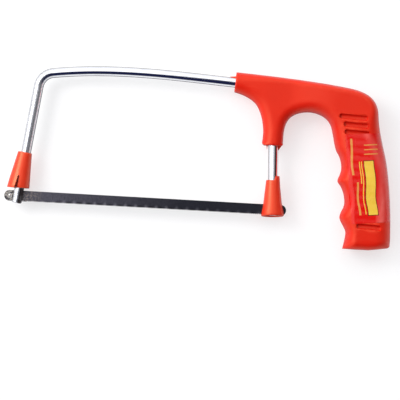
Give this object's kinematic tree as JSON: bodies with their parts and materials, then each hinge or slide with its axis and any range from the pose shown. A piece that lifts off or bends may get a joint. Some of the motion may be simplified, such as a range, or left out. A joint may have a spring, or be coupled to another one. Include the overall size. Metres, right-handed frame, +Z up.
{
  "type": "junior hacksaw",
  "caption": "Small hacksaw: a bent steel rod bow in a moulded pistol-grip handle, with a pin-ended blade held by two tapered lock sleeves.",
  "frame": {"origin": "middle of the footprint of the saw lying on its side, at the level of the handle's lower side", "axes": "+X along the blade from the front end towards the handle, +Y from the blade towards the bow, +Z up, out of the side that the saw lies on"},
  "size_m": [0.2152, 0.0946, 0.0186],
  "materials": {
    "handle_plastic": "semi-gloss moulded polypropylene, orange-red",
    "sleeve_plastic": "semi-gloss moulded polypropylene, orange-red",
    "chromed_rod": "bright chrome plate",
    "lacquered_blade": "blue-black lacquer, worn grey near the front end",
    "pin_steel": "plain turned steel",
    "label_film": "glossy printed film with plain gold bars"
  },
  "bodies": {
    "frame": {"handle": "handle_plastic", "bow_rod": "chromed_rod", "grip_label": "label_film"},
    "front_sleeve": {"front_sleeve": "sleeve_plastic"},
    "rear_sleeve": {"rear_sleeve": "sleeve_plastic"},
    "blade": {"blade": "lacquered_blade", "front_pin": "pin_steel", "rear_pin": "pin_steel"}
  },
  "joints": [
    {"name": "front_sleeve_slide", "type": "slide", "parent": "frame", "child": "front_sleeve", "axis": [0.1328, 0.9911, 0], "range_m": [0, 0.03]},
    {"name": "rear_sleeve_slide", "type": "slide", "parent": "frame", "child": "rear_sleeve", "axis": [-0.0424, 0.9991, 0], "range_m": [0, 0.012]},
    {"name": "blade_release", "type": "slide", "parent": "frame", "child": "blade", "axis": [-0.0499, -0.9988, 0], "range_m": [0, 0.016]}
  ]
}
